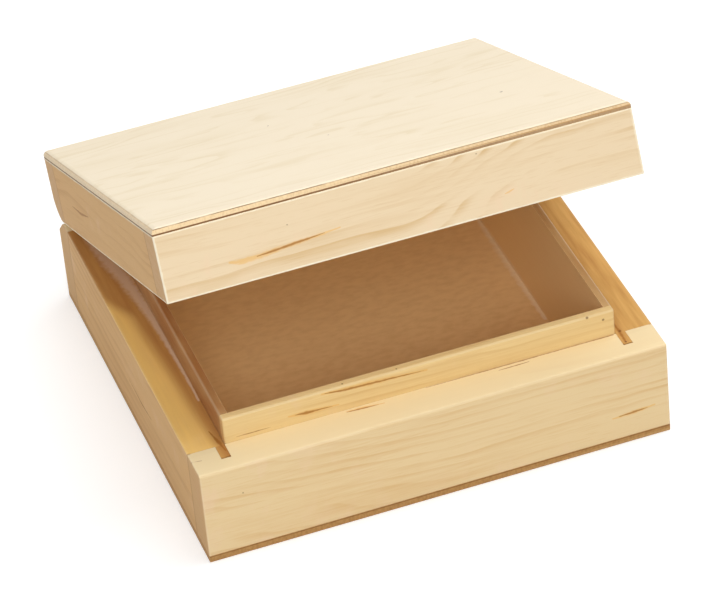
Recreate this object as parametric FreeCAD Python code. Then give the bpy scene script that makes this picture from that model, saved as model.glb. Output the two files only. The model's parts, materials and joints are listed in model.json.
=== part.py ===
import FreeCAD, Part
import os
from FreeCAD import Vector

# Wooden keepsake box with a hinged lid that closes over a raised inner lip.
# Millimetres. X is the width, the front faces -Y, +Z is up.
# The origin is the middle of the underside. The lid is drawn open, as it stands at rest.

# Outside of the box
box_width = 152.0
box_depth = 152.0
base_board_height = 31.0
lid_board_height = 20.8
bottom_panel_thickness = 2.5
top_panel_thickness = 2.5
board_thickness = 12.0

# Liner strips that stand inside the base and make the lip
liner_thickness = 2.6
lip_height = 9.3
lip_edge_round = 0.8
lip_clearance = 0.5

# Corner joints: a tongue on each side board in a groove of the front or back board
tongue_thickness = 3.0
tongue_length = 6.0
groove_end_gap = 0.5
glue_line = 0.05

# Eased outer edges
corner_round = 0.5
rim_side_round = 0.3
rim_front_round = 0.9
underside_round = 0.4
panel_edge_round = 2.0
panel_front_round = 0.3
lid_lower_round = 0.3
seam_round = 0.25

# The back edges that face each other are cut away so that the lid can swing past upright
base_back_bevel = 6.7
bevel_end_round = 3.0
lid_back_round = 10.0

# Lid position
rest_opening = 22.9
rim_gap = 0.2

# Concealed barrel hinges
hinge_spacing = 92.0
hinge_setback = 6.0
barrel_radius = 4.0
barrel_length = 9.5
barrel_recess = 5.2
barrel_hole_clearance = 0.05
hole_end_gap = 0.5
glue_groove_count = 3
glue_groove_depth = 0.3
glue_groove_width = 0.6
knuckle_radius = 2.6
tongue_plate_thickness = 2.1
cheek_thickness = 1.2
knuckle_side_clearance = 0.15
pin_radius = 1.0
pin_press_clearance = 0.01
pin_running_clearance = 0.05

# Heights and places that follow from the sizes above
base_height = bottom_panel_thickness + base_board_height
lid_board_thickness = board_thickness - lip_clearance
lid_bottom = base_height + rim_gap
hinge_height = base_height + rim_gap / 2
hinge_depth = box_depth / 2 - hinge_setback
hole_radius = barrel_radius + barrel_hole_clearance
overcut = 1.0

# The two sides of a range
LOW, HIGH = 0, 1


def block(x_range, y_range, z_range):
    """A box between two values along each direction."""
    size = [high - low for low, high in (x_range, y_range, z_range)]
    corner = Vector(x_range[0], y_range[0], z_range[0])
    return Part.makeBox(size[0], size[1], size[2], corner)


def centred(width):
    """The range of a size that lies evenly about the middle plane."""
    return (-width / 2, width / 2)


def mirrored(shape):
    """The same piece on the other side of the box."""
    return shape.mirror(Vector(0, 0, 0), Vector(1, 0, 0))


def edges_where(shape, test):
    """The edges whose middle passes the test."""
    found = []
    for edge in shape.Edges:
        middle = edge.valueAt((edge.FirstParameter + edge.LastParameter) / 2)
        if test(middle):
            found.append(edge)
    return found


def near(value, target):
    return abs(value - target) < 1e-4


def rounded_along(ranges, direction, rounds):
    """A box with rounded edges along one direction.

    rounds gives a radius for each edge, by its low or high side in the other two directions.
    """
    shape = block(*ranges)
    others = [name for name in "xyz" if name != direction]
    spans = dict(zip("xyz", ranges))
    for sides, radius in rounds.items():
        places = [spans[name][side] for name, side in zip(others, sides)]
        edge = edges_where(
            shape,
            lambda middle: all(
                near(getattr(middle, name), place) for name, place in zip(others, places)
            ),
        )
        shape = shape.makeFillet(radius, edge)
    return shape


def envelope(heights, lower, upper):
    """The outside of one layer of the box, as its plan, side and front outlines meet.

    lower and upper name the radii of the front, back and side edges. Upper may leave out the
    back, which then stays sharp.
    """
    ranges = (centred(box_width), centred(box_depth), heights)
    corners = [(x, y) for x in (LOW, HIGH) for y in (LOW, HIGH)]
    plan = rounded_along(ranges, "z", {corner: corner_round for corner in corners})
    side_rounds = {
        (LOW, LOW): lower["front"],
        (HIGH, LOW): lower["back"],
        (LOW, HIGH): upper["front"],
    }
    if "back" in upper:
        side_rounds[(HIGH, HIGH)] = upper["back"]
    front_rounds = {
        (LOW, LOW): lower["sides"],
        (HIGH, LOW): lower["sides"],
        (LOW, HIGH): upper["sides"],
        (HIGH, HIGH): upper["sides"],
    }
    side = rounded_along(ranges, "x", side_rounds)
    front = rounded_along(ranges, "y", front_rounds)
    return plan.common(side).common(front)


def bevelled_back():
    """The base's outside with its top back edge cut at 45 degrees and the cut's ends eased."""
    back = box_depth / 2
    shape = block(centred(box_width), centred(box_depth), (0, base_height))
    top_edge = edges_where(
        shape, lambda middle: near(middle.y, back) and near(middle.z, base_height)
    )
    shape = shape.makeChamfer(base_back_bevel, top_edge)
    ends = [(back - base_back_bevel, base_height), (back, base_height - base_back_bevel)]
    end_edges = edges_where(
        shape, lambda middle: any(near(middle.y, y) and near(middle.z, z) for y, z in ends)
    )
    return shape.makeFillet(bevel_end_round, end_edges)


def all_round(radius):
    """The same radius for the front, back and side edges."""
    return {"front": radius, "back": radius, "sides": radius}


def groove_positions(thickness):
    """The x ranges of the two grooves, level with the side boards' inner faces."""
    inner = box_width / 2 - thickness
    low = inner - glue_line
    high = inner + tongue_thickness + glue_line
    return [(low, high), (-high, -low)]


def front_board(thickness, heights):
    """A full-width board along the front, with a groove near each end."""
    outer_face = -box_depth / 2
    inner_face = outer_face + thickness
    shape = block(centred(box_width), (outer_face, inner_face), heights)
    groove_bottom = inner_face - tongue_length - groove_end_gap
    for x_range in groove_positions(thickness):
        groove = block(
            x_range,
            (groove_bottom, inner_face + overcut),
            (heights[0] - overcut, heights[1] + overcut),
        )
        shape = shape.cut(groove)
    return shape


def back_board(thickness, heights):
    """The front board turned to face the back."""
    return front_board(thickness, heights).mirror(Vector(0, 0, 0), Vector(0, 1, 0))


def right_board(thickness, heights):
    """A side board between the front and back boards, with a tongue at each end."""
    inner_face = box_width / 2 - thickness
    length = box_depth - 2 * (thickness + glue_line)
    body = block((inner_face, box_width / 2), centred(length), heights)
    tongue_reach = box_depth - 2 * (thickness - tongue_length)
    tongues = block(
        (inner_face, inner_face + tongue_thickness), centred(tongue_reach), heights
    )
    return body.fuse(tongues).removeSplitter()


def hinge_positions():
    return {"left": -hinge_spacing / 2, "right": hinge_spacing / 2}


def hinge_hole(x, rim_height, direction):
    """The round hole for one barrel, drilled from the rim into a back board."""
    depth = barrel_recess + barrel_length + hole_end_gap
    start = rim_height - direction * overcut
    return Part.makeCylinder(
        hole_radius, depth + overcut, Vector(x, hinge_depth, start), Vector(0, 0, direction)
    )


def drilled(board, rim_height, direction):
    for x in hinge_positions().values():
        board = board.cut(hinge_hole(x, rim_height, direction))
    return board


def carcase(prefix, thickness, heights, outside, rim_height, direction):
    """The four boards of the base or of the lid, trimmed to their common outside."""
    right = right_board(thickness, heights)
    boards = {
        "front_board": front_board(thickness, heights),
        "back_board": drilled(back_board(thickness, heights), rim_height, direction),
        "left_board": mirrored(right),
        "right_board": right,
    }
    return {prefix + name: board.common(outside) for name, board in boards.items()}


def liner_strips():
    """Four strips on the bottom panel, against the boards, that stand above the rim."""
    low = bottom_panel_thickness
    high = base_height + lip_height
    half_width = box_width / 2 - board_thickness - glue_line
    half_depth = box_depth / 2 - board_thickness - glue_line
    front = block(
        (-half_width, half_width), (-half_depth, -half_depth + liner_thickness), (low, high)
    )
    side_reach = half_depth - liner_thickness - glue_line
    right = block(
        (half_width - liner_thickness, half_width), (-side_reach, side_reach), (low, high)
    )
    front = front.makeFillet(lip_edge_round, lip_edges(front, "y", -half_depth))
    front = front.makeFillet(lip_edge_round, lip_edges(front, "x", half_width))
    right = right.makeFillet(lip_edge_round, lip_edges(right, "x", half_width))
    return {
        "front_liner": front,
        "back_liner": front.mirror(Vector(0, 0, 0), Vector(0, 1, 0)),
        "left_liner": mirrored(right),
        "right_liner": right,
    }


def lip_edges(strip, direction, outer_place):
    """The top edges of a strip that face outwards along x or y."""
    top = strip.BoundBox.ZMax
    return edges_where(
        strip,
        lambda middle: near(middle.z, top)
        and near(abs(getattr(middle, direction)), abs(outer_place)),
    )


def hinge_plate(x_range, direction):
    """A flat plate that runs from a barrel to a round end about the hinge axis."""
    width = x_range[1] - x_range[0]
    eye = Part.makeCylinder(
        knuckle_radius, width, Vector(x_range[0], hinge_depth, hinge_height), Vector(1, 0, 0)
    )
    reach = direction * (barrel_recess + glue_groove_width)
    z_range = sorted((hinge_height, hinge_height + reach))
    y_range = (hinge_depth - knuckle_radius, hinge_depth + knuckle_radius)
    return eye.fuse(block(x_range, y_range, z_range))


def barrel(x, direction):
    """The grooved cylinder of one hinge half, set below or above the hinge axis."""
    start = hinge_height + direction * barrel_recess
    axis = Vector(0, 0, direction)
    shape = Part.makeCylinder(barrel_radius, barrel_length, Vector(x, hinge_depth, start), axis)
    pitch = barrel_length / (glue_groove_count + 1)
    for number in range(1, glue_groove_count + 1):
        foot = start + direction * (number * pitch - glue_groove_width / 2)
        place = Vector(x, hinge_depth, foot)
        ring = Part.makeCylinder(barrel_radius + overcut, glue_groove_width, place, axis)
        core = Part.makeCylinder(
            barrel_radius - glue_groove_depth, glue_groove_width, place, axis
        )
        shape = shape.cut(ring.cut(core))
    return shape


def pin_hole(x, clearance):
    length = 2 * (barrel_radius + overcut)
    return Part.makeCylinder(
        pin_radius + clearance,
        length,
        Vector(x - length / 2, hinge_depth, hinge_height),
        Vector(1, 0, 0),
    )


def base_barrel(x):
    """The lower hinge half: a barrel with two cheeks that hold the pin."""
    inner = tongue_plate_thickness / 2 + knuckle_side_clearance
    outer = inner + cheek_thickness
    shape = barrel(x, -1)
    for x_range in ((x - outer, x - inner), (x + inner, x + outer)):
        shape = shape.fuse(hinge_plate(x_range, -1))
    return shape.removeSplitter().cut(pin_hole(x, pin_press_clearance))


def lid_barrel(x):
    """The upper hinge half: a barrel with one plate that turns on the pin."""
    half = tongue_plate_thickness / 2
    shape = barrel(x, 1).fuse(hinge_plate((x - half, x + half), 1))
    return shape.removeSplitter().cut(pin_hole(x, pin_running_clearance))


def hinge_pin(x):
    """The pivot pin, level with the outsides of the two cheeks."""
    length = tongue_plate_thickness + 2 * (knuckle_side_clearance + cheek_thickness)
    return Part.makeCylinder(
        pin_radius, length, Vector(x - length / 2, hinge_depth, hinge_height), Vector(1, 0, 0)
    )


def opened(shape):
    """The closed lid's piece, swung up about the hinge axis to where the lid stands."""
    turned = shape.copy()
    turned.rotate(Vector(0, hinge_depth, hinge_height), Vector(-1, 0, 0), rest_opening)
    return turned


def base_pieces():
    heights = (bottom_panel_thickness, base_height)
    rim = {"front": rim_front_round, "sides": rim_side_round}
    outside = envelope(heights, all_round(seam_round), rim).common(bevelled_back())
    pieces = carcase("base_", board_thickness, heights, outside, base_height, -1)
    pieces["bottom_panel"] = envelope(
        (0, bottom_panel_thickness), all_round(underside_round), all_round(seam_round)
    )
    pieces.update(liner_strips())
    for side, x in hinge_positions().items():
        pieces[side + "_hinge_base_barrel"] = base_barrel(x)
        pieces[side + "_hinge_pin"] = hinge_pin(x)
    return pieces


def lid_pieces():
    heights = (lid_bottom, lid_bottom + lid_board_height)
    rim = {"front": lid_lower_round, "back": lid_back_round, "sides": lid_lower_round}
    outside = envelope(heights, rim, all_round(seam_round))
    pieces = carcase("lid_", lid_board_thickness, heights, outside, lid_bottom, 1)
    top = {"front": panel_front_round, "back": panel_edge_round, "sides": panel_edge_round}
    pieces["lid_top_panel"] = envelope(
        (heights[1], heights[1] + top_panel_thickness), all_round(seam_round), top
    )
    for side, x in hinge_positions().items():
        pieces[side + "_hinge_lid_barrel"] = lid_barrel(x)
    return {name: opened(piece) for name, piece in pieces.items()}


os.makedirs("parts", exist_ok=True)
for name, piece in {**base_pieces(), **lid_pieces()}.items():
    piece.exportStep("parts/" + name + ".step")
    print(name, piece.isValid(), len(piece.Solids), round(piece.Volume, 2))
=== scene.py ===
import json
import math
from collections import namedtuple

import bpy
from bpy.props import FloatProperty, FloatVectorProperty, PointerProperty
from mathutils import Matrix, Vector


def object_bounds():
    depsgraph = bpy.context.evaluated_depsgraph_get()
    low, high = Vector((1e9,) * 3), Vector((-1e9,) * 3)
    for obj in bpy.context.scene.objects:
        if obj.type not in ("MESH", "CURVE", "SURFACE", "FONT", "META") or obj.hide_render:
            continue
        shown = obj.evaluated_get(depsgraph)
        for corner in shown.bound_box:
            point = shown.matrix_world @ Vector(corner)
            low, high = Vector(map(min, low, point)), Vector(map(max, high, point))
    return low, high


bl_info = {
    "name": "Hinged Keepsake Box",
    "version": (1, 0, 0),
    "blender": (4, 5, 0),
    "location": "View3D > Sidebar > Keepsake Box",
    "description": "Finishes a small hinged wooden box and sets its studio stage",
    "category": "Object",
}

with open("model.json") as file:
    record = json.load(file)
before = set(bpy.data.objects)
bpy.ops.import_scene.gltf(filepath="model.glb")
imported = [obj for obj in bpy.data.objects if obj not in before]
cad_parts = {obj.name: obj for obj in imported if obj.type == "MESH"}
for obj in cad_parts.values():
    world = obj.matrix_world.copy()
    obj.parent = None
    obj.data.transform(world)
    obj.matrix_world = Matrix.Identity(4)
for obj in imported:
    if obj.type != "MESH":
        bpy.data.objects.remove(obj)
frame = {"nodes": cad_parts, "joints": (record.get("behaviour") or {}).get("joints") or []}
CAD_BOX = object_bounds()

MM_PER_M = 1000.0

# The lid's hinge, and how far the lid stands open at rest
HINGE = frame["joints"][0]
HINGE_PLACE = Vector(HINGE["pos_m"])
OPENING = math.radians(-HINGE["range_deg"][0])

BASE, LID = "base", "lid"
HINGE_PARTS = [name for name in frame["nodes"] if "_hinge_" in name]


def closing(body):
    """Turns a body's place at rest, in metres, into its place on the closed box, in millimetres."""
    to_mm = Matrix.Scale(MM_PER_M, 4)
    if body == BASE:
        return to_mm
    shift = Matrix.Translation(HINGE_PLACE)
    return to_mm @ shift @ Matrix.Rotation(OPENING, 4, "X") @ shift.inverted()


def closed_box(node, body):
    """The lowest and highest corner of a piece of the closed box, in millimetres."""
    matrix = closing(body)
    corners = [matrix @ vertex.co for vertex in frame["nodes"][node].data.vertices]
    low = Vector(min(corner[axis] for corner in corners) for axis in range(3))
    high = Vector(max(corner[axis] for corner in corners) for axis in range(3))
    return low, high


BASE_FRONT = closed_box("base_front_board", BASE)
LID_FRONT = closed_box("lid_front_board", LID)
TOP_PANEL = closed_box("lid_top_panel", LID)
BOTTOM_PANEL = closed_box("bottom_panel", BASE)
FRONT_LINER = closed_box("front_liner", BASE)
SIDE_LINER = closed_box("right_liner", BASE)

OUTSIDE = {
    BASE: (BOTTOM_PANEL[0], Vector((BOTTOM_PANEL[1].x, BOTTOM_PANEL[1].y, BASE_FRONT[1].z))),
    LID: (Vector((TOP_PANEL[0].x, TOP_PANEL[0].y, LID_FRONT[0].z)), TOP_PANEL[1]),
}


def srgb(red, green, blue):
    """A screen colour, from 0 to 255, as the linear values that shaders take."""
    def linear(value):
        value /= 255
        return value / 12.92 if value <= 0.04045 else ((value + 0.055) / 1.055) ** 2.4

    return tuple(linear(value) for value in (red, green, blue))


def colour_property(name, description, *screen_colour):
    return FloatVectorProperty(
        name=name,
        description=description,
        subtype="COLOR",
        size=3,
        min=0,
        max=1,
        default=srgb(*screen_colour),
    )


def share_property(name, description, value):
    return FloatProperty(
        name=name, description=description, subtype="FACTOR", min=0, max=1, default=value
    )


class WoodColours(bpy.types.PropertyGroup):
    """Colours of the bare sanded wood, among them painted shade and painted highlights."""

    # The base's front and back are a little yellower than the lid's: partly their own tone and
    # partly painted shade, as the base front gets less light
    base_pale: colour_property(
        "Base front", "Early wood of the base's front and back", 236, 209, 161
    )
    base_dark: colour_property(
        "Base front lines", "Growth lines of the base's front and back", 213, 166, 101
    )
    lid_pale: colour_property("Lid front", "Early wood of the lid's front and back", 236, 213, 177)
    lid_dark: colour_property(
        "Lid front lines", "Growth lines of the lid's front and back", 207, 167, 104
    )
    # The side boards are browner and warmer than the fronts: partly their own tone and partly
    # painted shade for the side faces that turn from the light
    side_pale: colour_property("Side boards", "Early wood of the side boards", 225, 181, 122)
    side_dark: colour_property("Side board lines", "Growth lines of the side boards", 194, 141, 86)
    end_grain: colour_property(
        "End grain", "Sawn ends of the front and back boards", 210, 161, 103
    )
    # Painted highlight on the upward faces of the base's front and back boards
    rim: colour_property("Front ledge", "Upper edges of the base's front and back", 250, 231, 187)
    # The side ledges' golden colour is partly the edges' own tone and partly painted warm shade
    # from the lid above
    ledge: colour_property("Side ledges", "Upper edges of the base's side boards", 255, 211, 124)
    # Painted shade: brown laid where the lid and the liners shade the ledges, the side liners and
    # the floor inside
    painted_shade: colour_property("Painted shade", "Browner wood beside the liners", 164, 98, 48)
    liner_pale: colour_property("Liners", "Early wood of the liner strips", 242, 212, 153)
    liner_dark: colour_property("Liner lines", "Growth lines of the liner strips", 210, 162, 93)
    # Painted light: a paler, warmer colour that lifts the faces inside the box, which lie in shade
    inside: colour_property("Inside", "Liners and bottom panel inside the box", 252, 215, 160)
    veneer_pale: colour_property("Top veneer", "Face of the lid's panel", 255, 240, 213)
    veneer_dark: colour_property(
        "Top veneer lines", "Growth lines on the lid's panel", 238, 218, 178
    )
    core: colour_property("Panel core", "Middle layers of the lid's panel", 248, 218, 170)
    cross_band: colour_property("Panel cross bands", "Dark layers of both panels", 110, 62, 20)
    bottom_edge: colour_property("Bottom panel edge", "Edge of the bottom panel", 178, 128, 70)
    # Also painted shade in the creases, gaps and corners that the streak table gives
    mineral: colour_property("Mineral streaks and painted shade", "Brown streaks in the wood", 160, 98, 35)
    stain: colour_property("Golden stain", "Soft yellow halo of a mineral streak", 235, 184, 99)
    # Also dots of painted shade in the corners of a notch
    speck: colour_property("Specks and corner shade", "Small dark flecks and pin knots", 112, 72, 40)
    curl: colour_property("Curl", "Rosy bands across the grain", 241, 208, 174)
    # Partly sanding wear and partly a painted highlight along the arrises
    worn_and_highlit: colour_property("Worn and highlit edges", "Sanded outer edges", 254, 244, 218)
    # Pale smears at the foot of the liners
    smear: colour_property("Dried glue", "Smears along the foot of the liners", 255, 244, 228)


class WoodSurface(bpy.types.PropertyGroup):
    """How strongly the wood's features show."""

    lines: share_property("Growth lines", "Strength of the growth lines", 0.34)
    fibres: share_property("Fibres", "Strength of the fine fibres", 0.3)
    # The paled edges are partly wear and partly a painted highlight, strongest on the lid
    base_wear_and_highlight: share_property("Base edge wear and highlight", "How much paler the base's edges are", 0.12)
    lid_wear_and_highlight: share_property("Lid edge wear and highlight", "How much paler the lid's edges are", 0.9)
    wear_and_highlight_width: FloatProperty(
        name="Edge wear and highlight width",
        description="Width of the paler edges in millimetres",
        min=0.1,
        default=0.8,
    )
    roughness: share_property("Roughness", "Roughness of the bare wood", 0.58)
    specular: share_property("Specular level", "How strongly the bare wood shines", 0.12)
    relief: FloatProperty(
        name="Relief",
        description="Depth of the fibres and pores",
        subtype="DISTANCE",
        min=0,
        default=0.00006,
    )


class BrassFinish(bpy.types.PropertyGroup):
    """Finish of the barrel hinges."""

    metal: colour_property("Brass", "Bright brass", 214, 176, 98)
    patina: colour_property("Patina", "Dulled brass", 168, 128, 64)
    roughness: share_property("Roughness", "Roughness of the brass", 0.32)
    relief: FloatProperty(
        name="Relief",
        description="Depth of the turning marks",
        subtype="DISTANCE",
        min=0,
        default=0.00003,
    )


class StageSettings(bpy.types.PropertyGroup):
    """Camera, floor and lights."""

    camera_azimuth: FloatProperty(
        name="Camera azimuth",
        description="Turn of the view from straight along +Y",
        subtype="ANGLE",
        default=math.radians(16.257),
    )
    camera_elevation: FloatProperty(
        name="Camera elevation",
        description="Downward tilt of the view",
        subtype="ANGLE",
        default=math.radians(36.364),
    )
    camera_roll: FloatProperty(
        name="Camera roll",
        description="Turn of the picture about the line of sight",
        subtype="ANGLE",
        default=math.radians(-5.68),
    )
    camera_lens: FloatProperty(
        name="Camera lens",
        description="Focal length in millimetres",
        subtype="DISTANCE_CAMERA",
        min=10,
        default=216.3,
    )
    camera_place: FloatVectorProperty(
        name="Camera place",
        description="Where the camera stands",
        subtype="TRANSLATION",
        size=3,
        default=(-0.3096, -1.0671, 0.8408),
    )
    ambient: FloatProperty(
        name="Ambient light",
        description="Strength of the light from all round",
        min=0,
        default=0.38,
    )
    key_power: FloatProperty(
        name="Key light",
        description="Power of the large soft light",
        subtype="POWER",
        min=0,
        default=13.0,
    )
    key_size: FloatProperty(
        name="Key light size",
        description="Width of the soft light",
        subtype="DISTANCE",
        min=0.1,
        default=1.1,
    )
    light_distance: FloatProperty(
        name="Light distance",
        description="From the box to each soft light",
        subtype="DISTANCE",
        min=0.5,
        default=1.5,
    )
    key_direction: FloatVectorProperty(
        name="Key light direction",
        description="From the box towards the soft light",
        subtype="DIRECTION",
        size=3,
        default=(0.26, 0.06, 0.96),
    )
    fill_power: FloatProperty(
        name="Fill light",
        description="Power of the soft light beside the camera",
        subtype="POWER",
        min=0,
        default=8.7,
    )
    fill_size: FloatProperty(
        name="Fill light size",
        description="Width of the light beside the camera",
        subtype="DISTANCE",
        min=0.1,
        default=0.7,
    )
    floor_size: FloatProperty(
        name="Floor size", description="Width of the floor", subtype="DISTANCE", min=1, default=8.0
    )
    floor_grey: share_property("Floor grey", "Grey of the floor", 0.8)
    floor_roughness: share_property("Floor roughness", "Roughness of the floor", 0.9)
    floor_glow: share_property("Floor glow", "How much the floor is paled beside the box", 0.4)
    far_glow: share_property("Far glow", "How much the floor is paled far from the box", 0.75)


class KeepsakeBox(bpy.types.PropertyGroup):
    """Everything about the box's looks that can be changed."""

    colours: PointerProperty(name="Colours", description="Colours of the wood", type=WoodColours)
    surface: PointerProperty(name="Surface", description="Features of the wood", type=WoodSurface)
    brass: PointerProperty(name="Brass", description="Finish of the hinges", type=BrassFinish)
    stage: PointerProperty(name="Stage", description="Camera, floor and lights", type=StageSettings)


def settings():
    return bpy.context.scene.keepsake_box


class Value:
    """A shader value that can be written in a sum like a number."""

    def __init__(self, shading, socket):
        self.shading = shading
        self.socket = socket

    def __add__(self, other):
        return self.shading.math("ADD", self, other)

    def __sub__(self, other):
        return self.shading.math("SUBTRACT", self, other)

    def __rsub__(self, other):
        return self.shading.math("SUBTRACT", other, self)

    def __mul__(self, other):
        return self.shading.math("MULTIPLY", self, other)

    def __truediv__(self, other):
        return self.shading.math("DIVIDE", self, other)

    def __pow__(self, other):
        return self.shading.math("POWER", self, other)

    def __abs__(self):
        return self.shading.math("ABSOLUTE", self)

    __radd__ = __add__
    __rmul__ = __mul__


class Shading:
    """A new material, with short calls for the shader nodes that the finishes use."""

    def __init__(self, name):
        self.material = bpy.data.materials.new(name)
        self.material.use_nodes = True
        self.nodes = self.material.node_tree.nodes
        self.links = self.material.node_tree.links
        self.shader = self.nodes["Principled BSDF"]

    def feed(self, socket, value):
        """Links a value to a socket, or sets the socket's own number or colour."""
        if isinstance(value, Value):
            self.links.new(value.socket, socket)
        elif socket.type == "RGBA":
            socket.default_value = (*value, 1)
        else:
            socket.default_value = value

    def add(self, kind, output, inputs, **options):
        node = self.nodes.new(kind)
        for name, option in options.items():
            setattr(node, name, option)
        for name, value in inputs.items():
            self.feed(node.inputs[name], value)
        return Value(self, node.outputs[output])

    def math(self, operation, *values):
        return self.add("ShaderNodeMath", 0, dict(enumerate(values)), operation=operation)

    def smallest(self, first, second):
        return self.math("MINIMUM", first, second)

    def largest(self, first, second):
        return self.math("MAXIMUM", first, second)

    def vector_math(self, operation, *values):
        output = 1 if operation in ("LENGTH", "DISTANCE", "DOT_PRODUCT") else 0
        inputs = dict(enumerate(values))
        return self.add("ShaderNodeVectorMath", output, inputs, operation=operation)

    def stretched(self, vector, factor):
        """A vector times a value."""
        return self.add("ShaderNodeVectorMath", 0, {0: vector, "Scale": factor}, operation="SCALE")

    def parts(self, vector):
        """The x, y and z of a vector."""
        return [
            self.add("ShaderNodeSeparateXYZ", axis, {"Vector": vector}) for axis in ("X", "Y", "Z")
        ]

    def mapped(self, vector, scale=(1, 1, 1), shift=(0, 0, 0), turn=(0, 0, 0)):
        return self.add(
            "ShaderNodeMapping",
            "Vector",
            {"Vector": vector, "Scale": scale, "Location": shift, "Rotation": turn},
        )

    def noise(self, vector, scale, shift=(0, 0, 0), detail=2.0):
        """Noise from 0 to 1, with the number of its patches per millimetre along each direction."""
        place = self.mapped(vector, scale, shift)
        return self.add(
            "ShaderNodeTexNoise", "Fac", {"Vector": place, "Scale": 1.0, "Detail": detail}
        )

    def ramp(self, value, start, end, first=0.0, last=1.0):
        """Goes smoothly from the first to the last number as the value goes from start to end."""
        rising = start <= end
        low, high = (start, end) if rising else (end, start)
        at_low, at_high = (first, last) if rising else (last, first)
        return self.add(
            "ShaderNodeMapRange",
            "Result",
            {
                "Value": value,
                "From Min": low,
                "From Max": high,
                "To Min": at_low,
                "To Max": at_high,
            },
            interpolation_type="SMOOTHSTEP",
        )

    def band(self, value, start, end, softness):
        """1 where a value lies between start and end, with soft ends inside them."""
        rising = self.ramp(value, start, start + softness)
        return rising * self.ramp(value, end, end - softness)

    def mix(self, share, first, second):
        """The first colour, with a share of the second."""
        node = self.nodes.new("ShaderNodeMix")
        node.data_type = "RGBA"
        self.feed(node.inputs["Factor"], share)
        colours = [socket for socket in node.inputs if socket.type == "RGBA"]
        self.feed(colours[0], first)
        self.feed(colours[1], second)
        outputs = [socket for socket in node.outputs if socket.type == "RGBA"]
        return Value(self, outputs[0])

    def bump(self, height, depth):
        """Surface relief from a height between 0 and 1 and its depth in metres."""
        normal = self.add(
            "ShaderNodeBump", "Normal", {"Height": height, "Distance": depth, "Strength": 1.0}
        )
        self.feed(self.shader.inputs["Normal"], normal)

    def give_to(self, node):
        for slot in frame["nodes"][node].material_slots:
            slot.material = self.material


class BoxPlace:
    """Where a point lies on the closed box, and which way its surface faces there."""

    # Patches per millimetre of the noise that frays a mark's outline
    FRAY = (0.5, 0.5, 2.0)

    # A mark fades out between these shares of its half width
    MARK_FULL, MARK_GONE = 0.2, 1.1

    def __init__(self, shading, body):
        location, turn, _ = closing(body).decompose()
        angles = turn.to_euler()
        self.shading = shading
        self.body = body
        here = shading.add("ShaderNodeTexCoord", "Object", {})
        facing = shading.add("ShaderNodeTexCoord", "Normal", {})
        self.point = shading.mapped(here, (MM_PER_M,) * 3, location, angles)
        self.normal = shading.mapped(facing, turn=angles)

    def edge_distance(self):
        """Millimetres from the nearest outer edge of the base or of the lid."""
        low, high = OUTSIDE[self.body]
        x, y, z = self.shading.parts(self.point)
        side = high.x - abs(x)
        front = high.y - abs(y)
        level = self.shading.smallest(z - low.z, high.z - z)
        nearer = self.shading.smallest(side, front)
        further = self.shading.largest(side, front)
        return self.shading.largest(nearer, self.shading.smallest(further, level))

    def streak(self, stations, ragged=1.2):
        """A drawn-out mark through stations of a place and a width: 1 in its middle, 0 outside."""
        shading = self.shading
        rough = (shading.noise(self.point, self.FRAY, detail=3) - 0.5) * ragged
        total = None
        for (start, width), (end, end_width) in zip(stations, stations[1:]):
            along = Vector(end) - Vector(start)
            offset = shading.vector_math("SUBTRACT", self.point, start)
            reach = shading.vector_math("DOT_PRODUCT", offset, along / along.length_squared)
            reach = shading.add("ShaderNodeClamp", "Result", {"Value": reach})
            nearest = shading.stretched(tuple(along), reach)
            gap = shading.vector_math("LENGTH", shading.vector_math("SUBTRACT", offset, nearest))
            radius = reach * (end_width - width) / 2 + width / 2
            mark = shading.ramp(gap / radius + rough, self.MARK_GONE, self.MARK_FULL)
            total = mark if total is None else shading.largest(total, mark)
        return total

    def dot(self, place, width):
        """A round spot about a place: 1 in its middle, 0 outside."""
        gap = self.shading.vector_math("DISTANCE", self.point, place)
        return self.shading.ramp(gap, width * 0.6, width * 0.3)


Figure = namedtuple("Figure", "pith rise spacing waver shift")

LENGTHWISE, CROSSWISE = 0.0, math.radians(90)

# How the growth lines of each board run: where the tree's middle lay across and above the board,
# where along the board the lines climb and by how much, the millimetres between two lines and how
# far they waver, and the part of the pattern that the board shows.
FIGURES = {
    "base_front_board": Figure((-46, -30), (-85, 15, 4, -5), 3.1, 7, (3, 11, 5)),
    "base_back_board": Figure((40, 58), (-40, 70, 0, 6), 3.0, 8, (31, 7, 2)),
    "base_left_board": Figure((-40, -18), (-60, 60, 0, 5), 2.8, 7, (9, 21, 14)),
    "base_right_board": Figure((52, -20), (-60, 60, 4, 0), 3.2, 7, (5, 2, 27)),
    "lid_front_board": Figure((-50, 6), (-2, 52, -4, 14), 3.4, 6, (17, 2, 9)),
    "lid_back_board": Figure((44, 10), (-50, 30, 6, 0), 3.1, 7, (12, 16, 4)),
    "lid_left_board": Figure((-50, 20), (-60, 60, 0, -6), 2.9, 7, (2, 29, 8)),
    "lid_right_board": Figure((46, 84), (-60, 60, 0, 7), 3.0, 7, (22, 13, 1)),
    "front_liner": Figure((-40, 20), (-60, 70, 2, -2), 2.2, 4, (6, 8, 33)),
    "back_liner": Figure((40, 90), (-60, 60, 0, 5), 2.3, 4, (14, 3, 6)),
    "left_liner": Figure((-30, 10), (-60, 60, 0, 4), 2.2, 4, (1, 17, 12)),
    "right_liner": Figure((30, 96), (-60, 60, 3, 0), 2.3, 4, (27, 5, 19)),
    "lid_top_panel": Figure((10, -40), (-70, 70, -6, 6), 4.5, 22, (8, 24, 3)),
    "bottom_panel": Figure((-14, -50), (-70, 70, 5, -5), 4.0, 20, (4, 9, 18)),
}

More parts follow.
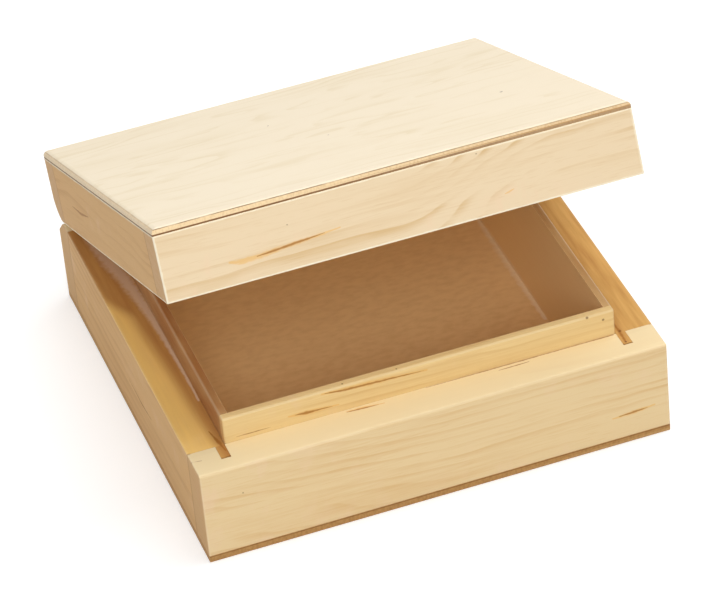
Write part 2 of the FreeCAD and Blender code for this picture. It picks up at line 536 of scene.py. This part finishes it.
# Soft golden stains, each through stations of a place and a width in millimetres
STAINS = {
    "lid_front_board": [
        [
            ((-55, -76, 40.9), 1.0),
            ((-51.5, -76, 40.3), 2.4),
            ((-46, -76, 40.5), 2.4),
            ((-38, -76, 41.2), 1.7),
            ((-29.6, -76, 41.8), 1.5),
            ((-20, -76, 42.5), 0.6),
        ],
        [((31.8, -76, 39.1), 0.3), ((33.2, -76, 39.4), 0.9), ((34.9, -76, 39.9), 0.3)],
    ],
    "front_liner": [
        [((-43, -64, 37.0), 0.9), ((-37, -64, 36.6), 2.2), ((-27, -64, 36.3), 0.7)],
        [((-32, -64, 41.8), 0.9), ((-18, -64, 41.0), 2.2), ((2, -64, 40.0), 0.8)],
    ],
    "base_front_board": [
        [((57, -76, 10.8), 0.8), ((64, -76, 11.2), 2.0), ((71, -76, 11.8), 0.8)],
        [((-25, -65.0, 33.5), 0.6), ((-20, -65.2, 33.5), 1.4), ((-13, -65.8, 33.5), 0.5)],
    ],
}

# Darker brown streaks, written in the same way; some are painted shade in creases, gaps and corners
STREAKS = {
    "lid_front_board": [
        [
            ((-46.5, -76, 40.6), 0.3),
            ((-42, -76, 40.9), 0.9),
            ((-38, -76, 41.2), 1.1),
            ((-31, -76, 41.7), 0.9),
            ((-25, -76, 42.2), 0.2),
        ],
    ],
    "base_front_board": [
        [((59.1, -76, 11.0), 0.3), ((64, -76, 11.2), 1.2), ((68.6, -76, 11.5), 0.2)],
        [((-25, -65.2, 33.5), 0.3), ((-21, -65.4, 33.5), 0.9), ((-15, -65.8, 33.5), 0.2)],
        [((-76.4, -68.1, 33.2), 0.8), ((-72.8, -68.6, 33.5), 0.3)],
        # Painted shade in the crease along the foot of the front liner
        [
            ((1, -64.2, 33.5), 0.2),
            ((22, -64.2, 33.5), 0.6),
            ((44, -64.2, 33.5), 0.5),
            ((63, -64.2, 33.5), 0.7),
        ],
        [((24.5, -65.7, 33.5), 0.3), ((29, -65.7, 33.5), 0.7), ((34.5, -65.6, 33.5), 0.3)],
    ],
    "front_liner": [
        [((-41, -64, 36.9), 0.3), ((-37.5, -64, 36.6), 1.4), ((-29, -64, 36.3), 0.2)],
        [
            ((-31, -64, 41.8), 0.3),
            ((-26, -64, 41.2), 1.1),
            ((-11.5, -64, 40.6), 1.0),
            ((1, -64, 40.0), 0.2),
        ],
        [((-60, -64, 35.0), 0.2), ((-55, -64, 35.0), 0.6), ((-49, -64, 35.0), 0.2)],
    ],
    "lid_left_board": [[((-76, 20, 44), 0.3), ((-76, 31, 43), 1.4), ((-76, 44, 43.5), 0.3)]],
    "base_left_board": [
        [((-76, -22, 17), 0.3), ((-76, -12, 16), 1.2), ((-76, 2, 16.4), 0.2)],
        # Painted shade in the gap at the tongue's end, and in the corner beside the liner
        [((-64.2, -69.9, 33.5), 0.5), ((-61, -69.9, 33.5), 0.5)],
        [((-66.4, -56, 33.5), 0.4), ((-65.4, -62, 33.5), 1.5), ((-64.6, -67, 33.5), 0.7)],
    ],
    "base_right_board": [
        # Painted shade in the gap at the tongue's end, and in the corner beside the liner
        [((64.2, -69.9, 33.5), 0.5), ((61, -69.9, 33.5), 0.5)],
        [((65.2, -56, 33.5), 0.5), ((65.4, -63, 33.5), 1.5), ((65.2, -69, 33.5), 0.9)],
    ],
}

# Small dark specks, and dots of painted shade in corners: a place and a width in millimetres
SPECKS = {
    "lid_front_board": [((-35.6, -76, 47.5), 0.4), ((25.5, -76, 53.3), 0.4)],
    "base_front_board": [((-63.1, -76, 23.1), 0.5)],
    # Painted shade in the corners of the right tongue's notch
    "base_right_board": [((65.6, -63.3, 33.5), 1.0), ((65.2, -69.2, 33.5), 0.8)],
    "front_liner": [
        ((54.9, -63.9, 42.5), 1.0),
        ((60.1, -64, 40.1), 0.9),
        ((-24.9, -62.9, 42.8), 0.7),
        ((-7.4, -63.0, 42.8), 0.6),
    ],
    "lid_top_panel": [
        ((53.4, -18.3, 57), 1.1),
        ((-12.6, 22.4, 57), 0.7),
        ((-2.7, -13.8, 57), 0.6),
    ],
}

# Pale smears along the foot of a liner, and how strongly they show on each piece
LEFT_SMEAR = [
    ((-70.5, 58, 33.5), 4.5),
    ((-68.6, 44, 33.5), 7.0),
    ((-66.6, 30, 33.5), 6.4),
    ((-65.2, 14, 33.5), 4.6),
    ((-64.6, 0, 33.5), 3.2),
    ((-64.4, -12, 33.5), 2.2),
    ((-64.2, -26, 33.5), 1.7),
    ((-64.5, -40, 33.5), 0.9),
]
RIGHT_SMEAR = [
    ((61.2, 58, 2.5), 2.0),
    ((61.2, 45, 2.5), 3.6),
    ((61.3, 24, 2.5), 4.6),
    ((61.2, 8, 2.5), 4.0),
    ((60.9, -8, 2.5), 2.0),
]
SMEARS = {
    "base_left_board": (LEFT_SMEAR, 0.36),
    "left_liner": (LEFT_SMEAR, 0.16),
    "bottom_panel": (RIGHT_SMEAR, 0.34),
    "right_liner": (RIGHT_SMEAR, 0.26),
}

# The unlike parts of the noise that the features of the wood read, in the order of their shifts
PATTERNS = (
    "across",
    "upward",
    "fading",
    "fibres",
    "grit",
    "patches",
    "curl",
    "curled",
    "pores",
    "edge",
    "drift",
    "cloud",
    "broken",
)
PATTERN_SHIFT = 7.3

# How much of the full strength of the growth lines a front or back board shows
FRONT_LINES = {BASE: 1.1, LID: 1.7}

# A panel's face counts as an edge as the upright part of its normal falls from one to the other
EDGE_LEAN = (0.9, 0.6)

# A face looks to the side as the sideways part of its normal rises from one to the other
SIDE_LEAN = (0.5, 0.9)


def body_of(node):
    return LID if node.startswith("lid_") or "_lid_" in node else BASE


class BareWood:
    """A piece of bare sanded wood: its figure, its marks, and its edges paled by wear and a painted
    highlight.
    """

    def __init__(self, node, turn, pale, dark, lines=1.0, curl=1.0):
        self.node = node
        self.shading = Shading(node.replace("_", " ") + " wood")
        self.place = BoxPlace(self.shading, body_of(node))
        self.figure = FIGURES[node]
        self.along = self.shading.mapped(self.place.point, turn=(0, 0, turn))
        facing = self.shading.mapped(self.place.normal, turn=(0, 0, turn))
        self.end_grain = self.shading.ramp(abs(self.shading.parts(facing)[0]), 0.55, 0.95)
        self.colour_wood(pale, dark, lines, curl)

    def noise(self, scale, pattern, detail=2.0):
        """Noise from 0 to 1 in this board's own part of a pattern."""
        number = PATTERNS.index(pattern) + 1
        shift = tuple(part + number * PATTERN_SHIFT for part in self.figure.shift)
        return self.shading.noise(self.along, scale, shift, detail)

    def wander(self, scale, pattern, reach):
        """Noise that strays by half a reach to either side of 0."""
        return (self.noise(scale, pattern) - 0.5) * reach

    def growth_lines(self):
        """The late wood of each year: 1 along its dark edge, 0 between."""
        shading, figure = self.shading, self.figure
        x, y, z = shading.parts(self.along)
        start, end, first, last = figure.rise
        climb = shading.ramp(x, start, end, first, last)
        across = y - figure.pith[0] + self.wander((0.013, 0.03, 0.03), "across", figure.waver)
        up = z - figure.pith[1] - climb + self.wander((0.022, 0.05, 0.05), "upward", figure.waver)
        years = (across * across + up * up) ** 0.5 / figure.spacing
        year_drift = self.noise((0.004, 0.11, 0.11), "drift") * 2.4
        share = shading.math("FRACT", years + year_drift)
        summer, autumn, winter = 0.4, 0.9, 1.0
        line = shading.ramp(share, summer, autumn) * shading.ramp(share, winter, autumn)
        return line * shading.ramp(self.noise((0.012, 0.14, 0.14), "fading"), 0.36, 0.66, 0.1, 1.0)

    def colour_wood(self, pale, dark, line_share, curl):
        """Sets the wood's colour and relief from its lines, fibres, patches, curl and pores."""
        shading, surface, colours = self.shading, settings().surface, settings().colours
        lines = self.growth_lines()
        fibres = self.noise((0.05, 1.8, 1.8), "fibres", 4.0)
        self.grit = self.noise((0.5, 6, 6), "grit")
        patches = self.wander((0.015, 0.05, 0.08), "patches", 0.8)
        middle, contrast = 0.45, 1.6
        tone = lines * (surface.lines * line_share)
        tone = tone + (fibres - middle) * surface.fibres * contrast + patches
        tone = shading.add("ShaderNodeClamp", "Result", {"Value": tone})
        self.colour = shading.mix(tone, tuple(pale), tuple(dark))
        bands = shading.ramp(self.noise((0.16, 0.06, 0.09), "curl", 3.0), 0.48, 0.72)
        curled = shading.ramp(self.noise((0.02, 0.05, 0.05), "curled"), 0.45, 0.7)
        self.paint(bands * curled * (curl * 0.4), colours.curl)
        pores = shading.ramp(self.noise((0.2, 3.2, 3.2), "pores", 0.0), 0.68, 0.8)
        self.paint(pores * 0.14, dark)
        self.paint(self.end_grain * 0.75, colours.end_grain)
        self.height = fibres * 0.5 + self.grit * 0.3 + lines * 0.2

    def paint(self, share, colour):
        """Lays a share of a colour over what the wood has so far."""
        self.colour = self.shading.mix(share, self.colour, tuple(colour))

    def add_marks(self):
        """Lays on the stains, streaks, specks, smears and painted shade that the tables give for
        this piece.
        """
        colours = settings().colours
        for stations in STAINS.get(self.node, ()):
            self.paint(self.place.streak(stations) * 0.6, colours.stain)
        for stations in STREAKS.get(self.node, ()):
            self.paint(self.place.streak(stations) * 0.75, colours.mineral)
        for spot, width in SPECKS.get(self.node, ()):
            self.paint(self.place.dot(spot, width) * 0.7, colours.speck)
        if self.node in SMEARS:
            stations, share = SMEARS[self.node]
            self.paint(self.place.streak(stations, 0.9) * share, colours.smear)

    def paint_wear_and_highlight(self):
        """Pales the outer edges, and on the lid the edge under the panel too: partly sanding wear
        and partly a painted highlight along the arrises.
        """
        surface = settings().surface
        share = surface.lid_wear_and_highlight if self.place.body == LID else surface.base_wear_and_highlight
        distance = self.place.edge_distance()
        if self.place.body == LID:
            narrower = 0.15
            level = self.shading.parts(self.place.point)[2]
            distance = self.shading.smallest(distance, LID_FRONT[1].z - level + narrower)
        distance = distance + self.wander((0.3, 0.6, 0.6), "edge", 0.5)
        fully_worn_and_highlit = 0.2
        worn_and_highlit = self.shading.ramp(distance, surface.wear_and_highlight_width, fully_worn_and_highlit)
        self.paint(worn_and_highlit * share, settings().colours.worn_and_highlit)

    def finish(self, worn_and_highlit=True):
        """Adds the marks, and the wear with its painted highlight, and gives the piece its
        material.
        """
        surface = settings().surface
        self.add_marks()
        if worn_and_highlit:
            self.paint_wear_and_highlight()
        shader = self.shading.shader
        spread = 0.16
        roughness = self.grit * spread + (surface.roughness - spread / 2)
        self.shading.feed(shader.inputs["Base Color"], self.colour)
        self.shading.feed(shader.inputs["Roughness"], roughness)
        shader.inputs["Specular IOR Level"].default_value = surface.specular
        self.shading.bump(self.height, surface.relief)
        self.shading.give_to(self.node)


def paint_inside_light(wood):
    """Paints the faces that look into the box a paler, warmer colour: painted light for the inside,
    which lies in shade.
    """
    x, y, _ = wood.shading.parts(wood.place.point)
    beyond = wood.shading.largest(abs(x) - SIDE_LINER[0].x, abs(y) + FRONT_LINER[1].y)
    wood.paint(wood.shading.ramp(beyond, 0.12, 0.02) * 0.85, settings().colours.inside)


def paint_lip_highlight(wood, share):
    """Pales the rounded outer edge along the top of a liner by a share: a painted highlight on its
    arris.
    """
    x, y, z = wood.shading.parts(wood.place.point)
    out = wood.shading.smallest(SIDE_LINER[1].x - abs(x), -FRONT_LINER[0].y - abs(y))
    reach = wood.shading.largest(out, FRONT_LINER[1].z - z)
    wood.paint(wood.shading.ramp(reach, 0.8, 0.3) * share, settings().colours.worn_and_highlit)


def colour_and_shade_ledge(wood):
    """Gives a side board's upper edge its golden cast and painted shade, browner towards the liner
    and the back.
    """
    colours = settings().colours
    shading = wood.shading
    x, y, z = shading.parts(wood.place.point)
    left, right = shading.ramp(x, 1, -1), shading.ramp(x, -1, 1)
    rim = BASE_FRONT[1].z
    ledge = shading.ramp(z, rim - 0.5, rim - 0.1)
    cloud = wood.noise((0.05, 0.6, 0.6), "cloud", 5.0)
    # Golden cast: partly the edge's own tone and partly painted warm shade from the lid
    wood.paint(ledge * (cloud * 0.5 + 0.6), colours.ledge)
    # Painted shade of the lid over the right ledge, in random patches
    wood.paint(ledge * right * (cloud * 0.8 + 0.07), colours.painted_shade)
    # On the left the painted shade starts at the liner, and widens slowly and then fast towards the
    # back
    liner_front, slope = -60, 0.055
    widening = (y - liner_front) * slope + shading.ramp(y, 8, 26, 0.0, 5.0)
    brown = shading.ramp(x + widening + (cloud - 0.5) * 3, -69.5, -64.2)
    wood.paint(ledge * left * brown * (0.85 - cloud * 0.3), colours.painted_shade)
    # Painted shade on the tongue in its groove, more on the left
    tongue = shading.ramp(y, -63.5, -64.5) * (left * 0.32 + 0.08)
    wood.paint(ledge * tongue, colours.painted_shade)


def paint_rim_highlight(wood):
    """Pales the upward faces of a front or back board of the base: a painted highlight on its top
    and rounded upper edge.
    """
    up = wood.shading.parts(wood.place.normal)[2]
    wood.paint(wood.shading.ramp(up, 0.7, 1.0) * 0.75, settings().colours.rim)


def mark_joint(wood):
    """Darkens the line where a side board meets the end of a front or back board."""
    x, y, _ = wood.shading.parts(wood.place.point)
    reach = -(BASE_FRONT if wood.place.body == BASE else LID_FRONT)[1].y
    line = wood.shading.ramp(abs(abs(y) - reach), 0.7, 0.1)
    line = line * wood.shading.ramp(abs(x), OUTSIDE[BASE][1].x - 1.5, OUTSIDE[BASE][1].x - 0.5)
    wood.paint(line * 0.35, settings().colours.mineral)


class KEEPSAKEBOX_OT_front_back_boards(bpy.types.Operator):
    """Finish the front and back boards of the base and of the lid"""

    bl_idname = "keepsake_box.front_back_boards"
    bl_label = "Front and back boards"

    def execute(self, context):
        colours = settings().colours
        # The base's tones are partly painted shade, as its front gets less light than the lid's
        shades = {
            BASE: (colours.base_pale, colours.base_dark),
            LID: (colours.lid_pale, colours.lid_dark),
        }
        for body, (pale, dark) in shades.items():
            for side in ("front", "back"):
                node = f"{body}_{side}_board"
                wood = BareWood(node, LENGTHWISE, pale, dark, FRONT_LINES[body])
                if body == BASE:
                    paint_rim_highlight(wood)
                mark_joint(wood)
                wood.finish()
        return {"FINISHED"}


class KEEPSAKEBOX_OT_side_boards(bpy.types.Operator):
    """Finish the side boards of the base and of the lid"""

    bl_idname = "keepsake_box.side_boards"
    bl_label = "Side boards"

    def execute(self, context):
        colours = settings().colours
        for body in (BASE, LID):
            for side in ("left", "right"):
                node = f"{body}_{side}_board"
                wood = BareWood(node, CROSSWISE, colours.side_pale, colours.side_dark)
                if body == BASE:
                    colour_and_shade_ledge(wood)
                mark_joint(wood)
                wood.finish()
        return {"FINISHED"}


class KEEPSAKEBOX_OT_liners(bpy.types.Operator):
    """Finish the four liner strips that stand up inside the base"""

    bl_idname = "keepsake_box.liners"
    bl_label = "Liner strips"

    def execute(self, context):
        colours = settings().colours
        turns = {"front": LENGTHWISE, "back": LENGTHWISE, "left": CROSSWISE, "right": CROSSWISE}
        for side, turn in turns.items():
            wood = BareWood(side + "_liner", turn, colours.liner_pale, colours.liner_dark)
            if turn == CROSSWISE:
                # Painted shade of the lid on the side liners: less on the right, and a little less
                # at the front end
                least_painted_shade = 0.3 if side == "right" else 0.6
                brown = wood.noise((0.06, 0.3, 0.3), "cloud") * 0.4 + least_painted_shade
                y = wood.shading.parts(wood.place.point)[1]
                paler_front = wood.shading.ramp(y, -63, -57, 0.8)
                wood.paint(brown * paler_front, colours.painted_shade)
            paint_lip_highlight(wood, 0.3 if side == "right" else 0.12)
            paint_inside_light(wood)
            wood.finish()
        return {"FINISHED"}


class KEEPSAKEBOX_OT_top_panel(bpy.types.Operator):
    """Finish the lid's plywood panel: pale face veneer and layered edge"""

    bl_idname = "keepsake_box.top_panel"
    bl_label = "Lid panel"

    def execute(self, context):
        colours = settings().colours
        wood = BareWood(
            "lid_top_panel", LENGTHWISE, colours.veneer_pale, colours.veneer_dark, 1.3, 0.1
        )
        shading = wood.shading
        x, _, z = shading.parts(wood.place.point)
        facing_side, _, flat = [abs(part) for part in shading.parts(wood.place.normal)]
        edge = shading.ramp(flat, *EDGE_LEAN)
        darker_end = shading.ramp(x, -50, 70)
        depth = TOP_PANEL[1].z - z + wood.wander((0.4, 0.4, 3), "drift", 0.12)
        below_veneer = shading.ramp(depth, 0.4, 0.5)
        wood.paint(below_veneer * 0.9, colours.core)
        side_core = below_veneer * edge * shading.ramp(facing_side, *SIDE_LEAN)
        wood.paint(side_core * 0.6, colours.veneer_pale)
        short_grain = shading.ramp(wood.noise((1.6, 1.6, 0.8), "cloud"), 0.4, 0.7)
        golden = darker_end * 0.2 + short_grain * 0.2
        wood.paint(below_veneer * edge * golden, colours.bottom_edge)
        broken = shading.ramp(wood.noise((0.12, 0.12, 0.5), "broken"), 0.3, 0.6, 0.35, 1.0)
        broken = broken * shading.ramp(facing_side, 0.3, 0.7, 1.0, 0.6) * (1 - darker_end * 0.4)
        first_band = shading.band(depth, 0.3, 0.68, 0.1) * broken
        wood.paint(first_band * edge * 0.75, colours.cross_band)
        second_band = shading.band(depth, 1.25, 1.7, 0.15) * darker_end
        wood.paint(second_band * edge * 0.8, colours.bottom_edge)
        foot_band = shading.ramp(depth + darker_end * 0.3, 1.85, 2.0)
        wood.paint(foot_band * edge * (0.9 - darker_end * 0.35), colours.cross_band)
        wood.finish(worn_and_highlit=False)
        return {"FINISHED"}


class KEEPSAKEBOX_OT_bottom_panel(bpy.types.Operator):
    """Finish the bottom plywood panel: brown edge, and the floor inside the box"""

    bl_idname = "keepsake_box.bottom_panel"
    bl_label = "Bottom panel"

    def execute(self, context):
        colours = settings().colours
        wood = BareWood(
            "bottom_panel", LENGTHWISE, colours.liner_pale, colours.liner_dark, 0.6, 0.15
        )
        shading = wood.shading
        x, y, z = shading.parts(wood.place.point)
        facing_side, _, flat = [abs(part) for part in shading.parts(wood.place.normal)]
        edge = shading.ramp(flat, *EDGE_LEAN) * shading.ramp(facing_side, *SIDE_LEAN, 1.0, 0.35)
        depth = BOTTOM_PANEL[1].z - z
        wood.paint(edge * 0.85, colours.bottom_edge)
        short_grain = shading.ramp(wood.noise((1.2, 1.2, 0.6), "drift"), 0.35, 0.7)
        wood.paint(edge * short_grain * 0.25, colours.cross_band)
        top_band = shading.ramp(depth, 0.6, 0.4)
        wood.paint(top_band * edge * 0.45, colours.cross_band)
        paler_foot = shading.ramp(depth, 1.3, 1.5) * shading.ramp(x, 0, 60)
        wood.paint(paler_foot * edge * 0.15, colours.liner_pale)
        paint_inside_light(wood)
        # Painted shade on the floor inside: deeper towards the front, lighter at the far left, with
        # a random mottle
        mottled = shading.ramp(wood.noise((0.25, 0.5, 0.5), "cloud", 5.0), 0.3, 0.8) * 0.14
        darker_front, darker_right = shading.ramp(y, 25, -35), shading.ramp(x, -50, -10)
        darker = darker_front * 0.26 + darker_right * 0.1 + mottled
        wood.paint(darker * shading.ramp(edge, 1, 0), colours.painted_shade)
        wood.finish(worn_and_highlit=False)
        return {"FINISHED"}


class KEEPSAKEBOX_OT_hinges(bpy.types.Operator):
    """Finish the brass barrel hinges"""

    bl_idname = "keepsake_box.hinges"
    bl_label = "Barrel hinges"

    def execute(self, context):
        brass = settings().brass
        for body in (BASE, LID):
            shading = Shading(f"{body} hinge brass")
            place = BoxPlace(shading, body)
            dull = shading.ramp(shading.noise(place.point, (0.35,) * 3, detail=4.0), 0.35, 0.7)
            turned = shading.noise(place.point, (0.3, 0.3, 9.0), (5, 0, 0), 3.0)
            colour = shading.mix(dull * 0.7, tuple(brass.metal), tuple(brass.patina))
            least_rough = brass.roughness - 0.1
            roughness = dull * 0.2 + turned * 0.12 + least_rough
            inputs = shading.shader.inputs
            shading.feed(inputs["Base Color"], colour)
            shading.feed(inputs["Roughness"], roughness)
            inputs["Metallic"].default_value = 1.0
            shading.bump(turned * 0.6 + dull * 0.4, brass.relief)
            for node in HINGE_PARTS:
                if body_of(node) == body:
                    shading.give_to(node)
        return {"FINISHED"}


class KEEPSAKEBOX_OT_stage(bpy.types.Operator):
    """Set the floor, the soft light, the even surroundings and the camera"""

    bl_idname = "keepsake_box.stage"
    bl_label = "Stage"

    def execute(self, context):
        stage = settings().stage
        self.lay_floor(context, stage)
        self.set_surroundings(context, stage)
        self.set_camera(context, stage)
        low, high = CAD_BOX
        middle = (low + high) / 2
        above = Vector(stage.key_direction).normalized() * stage.light_distance
        self.hang_light(context, "soft_key", stage.key_size, stage.key_power, middle, above)
        towards = (Vector(stage.camera_place) - middle).normalized() * stage.light_distance
        self.hang_light(context, "soft_fill", stage.fill_size, stage.fill_power, middle, towards)
        context.scene.view_settings.view_transform = "Standard"
        return {"FINISHED"}

    def lay_floor(self, context, stage):
        """A pale floor that keeps the box's shadow and looks white all round it."""
        mesh = bpy.data.meshes.new("studio_floor")
        half = stage.floor_size / 2
        corners = [(-half, -half, 0), (half, -half, 0), (half, half, 0), (-half, half, 0)]
        mesh.from_pydata(corners, [], [(0, 1, 2, 3)])
        floor = bpy.data.objects.new("studio_floor", mesh)
        context.scene.collection.objects.link(floor)
        shading = Shading("studio floor")
        inputs = shading.shader.inputs
        inputs["Base Color"].default_value = (*(stage.floor_grey,) * 3, 1)
        inputs["Roughness"].default_value = stage.floor_roughness
        inputs["Specular IOR Level"].default_value = 0.0
        inputs["Emission Color"].default_value = (1, 1, 1, 1)
        here = shading.add("ShaderNodeTexCoord", "Object", {})
        reach = shading.vector_math("LENGTH", here)
        near, far = 0.3, 2.0
        glow = shading.ramp(reach, near, far, stage.floor_glow, stage.far_glow)
        shading.feed(inputs["Emission Strength"], seen_directly(shading) * glow)
        mesh.materials.append(shading.material)

    def hang_light(self, context, name, size, power, target, offset):
        """A square soft light at an offset from its target, turned to face it."""
        data = bpy.data.lights.new(name, "AREA")
        data.shape = "SQUARE"
        data.size = size
        data.energy = power
        light = bpy.data.objects.new(name, data)
        context.scene.collection.objects.link(light)
        light.location = target + offset
        light.rotation_euler = offset.to_track_quat("Z", "Y").to_euler()
        light.visible_camera = False

    def set_surroundings(self, context, stage):
        """An even light from all round that looks white where it is seen."""
        world = bpy.data.worlds.new("even_light")
        world.use_nodes = True
        context.scene.world = world
        nodes, links = world.node_tree.nodes, world.node_tree.links
        background = nodes["Background"]
        background.inputs["Color"].default_value = (1, 1, 1, 1)
        path = nodes.new("ShaderNodeLightPath")
        seen = path.outputs["Is Camera Ray"]
        for ray in ("Is Glossy Ray", "Is Transmission Ray"):
            either = nodes.new("ShaderNodeMath")
            either.operation = "MAXIMUM"
            links.new(seen, either.inputs[0])
            links.new(path.outputs[ray], either.inputs[1])
            seen = either.outputs[0]
        strength = nodes.new("ShaderNodeMapRange")
        strength.inputs["To Min"].default_value = stage.ambient
        links.new(seen, strength.inputs["Value"])
        links.new(strength.outputs["Result"], background.inputs["Strength"])

    def set_camera(self, context, stage):
        """The camera of the photograph's view."""
        data = bpy.data.cameras.new("photo_view")
        data.lens = stage.camera_lens
        camera = bpy.data.objects.new("photo_view", data)
        context.scene.collection.objects.link(camera)
        turn = Matrix.Rotation(-stage.camera_azimuth, 4, "Z")
        tilt = Matrix.Rotation(math.radians(90) - stage.camera_elevation, 4, "X")
        roll = Matrix.Rotation(stage.camera_roll, 4, "Z")
        camera.matrix_world = Matrix.Translation(stage.camera_place) @ turn @ tilt @ roll
        context.scene.camera = camera


def seen_directly(shading):
    """1 where the camera, a mirror or glass shows a surface, 0 where it only lights others."""
    camera, glossy, clear = [
        shading.add("ShaderNodeLightPath", ray, {})
        for ray in ("Is Camera Ray", "Is Glossy Ray", "Is Transmission Ray")
    ]
    return shading.largest(camera, shading.largest(glossy, clear))


OPERATORS = (
    KEEPSAKEBOX_OT_front_back_boards,
    KEEPSAKEBOX_OT_side_boards,
    KEEPSAKEBOX_OT_liners,
    KEEPSAKEBOX_OT_top_panel,
    KEEPSAKEBOX_OT_bottom_panel,
    KEEPSAKEBOX_OT_hinges,
    KEEPSAKEBOX_OT_stage,
)


class KEEPSAKEBOX_PT_panel(bpy.types.Panel):
    """Lists the steps that finish the box"""

    bl_idname = "KEEPSAKEBOX_PT_panel"
    bl_label = "Keepsake Box"
    bl_space_type = "VIEW_3D"
    bl_region_type = "UI"
    bl_category = "Keepsake Box"

    def draw(self, context):
        box = context.scene.keepsake_box
        for group in (box.colours, box.surface, box.brass, box.stage):
            column = self.layout.column()
            for name in group.bl_rna.properties.keys():
                if name not in ("rna_type", "name"):
                    column.prop(group, name)
        for operator in OPERATORS:
            self.layout.operator(operator.bl_idname)


CLASSES = (
    WoodColours,
    WoodSurface,
    BrassFinish,
    StageSettings,
    KeepsakeBox,
    *OPERATORS,
    KEEPSAKEBOX_PT_panel,
)


def register():
    for kind in CLASSES:
        bpy.utils.register_class(kind)
    bpy.types.Scene.keepsake_box = PointerProperty(
        name="Keepsake box", description="Looks of the keepsake box", type=KeepsakeBox
    )


def unregister():
    del bpy.types.Scene.keepsake_box
    for kind in reversed(CLASSES):
        bpy.utils.unregister_class(kind)


def main():
    register()
    bpy.ops.keepsake_box.front_back_boards()
    bpy.ops.keepsake_box.side_boards()
    bpy.ops.keepsake_box.liners()
    bpy.ops.keepsake_box.top_panel()
    bpy.ops.keepsake_box.bottom_panel()
    bpy.ops.keepsake_box.hinges()
    bpy.ops.keepsake_box.stage()


if __name__ == "__main__":
    main()
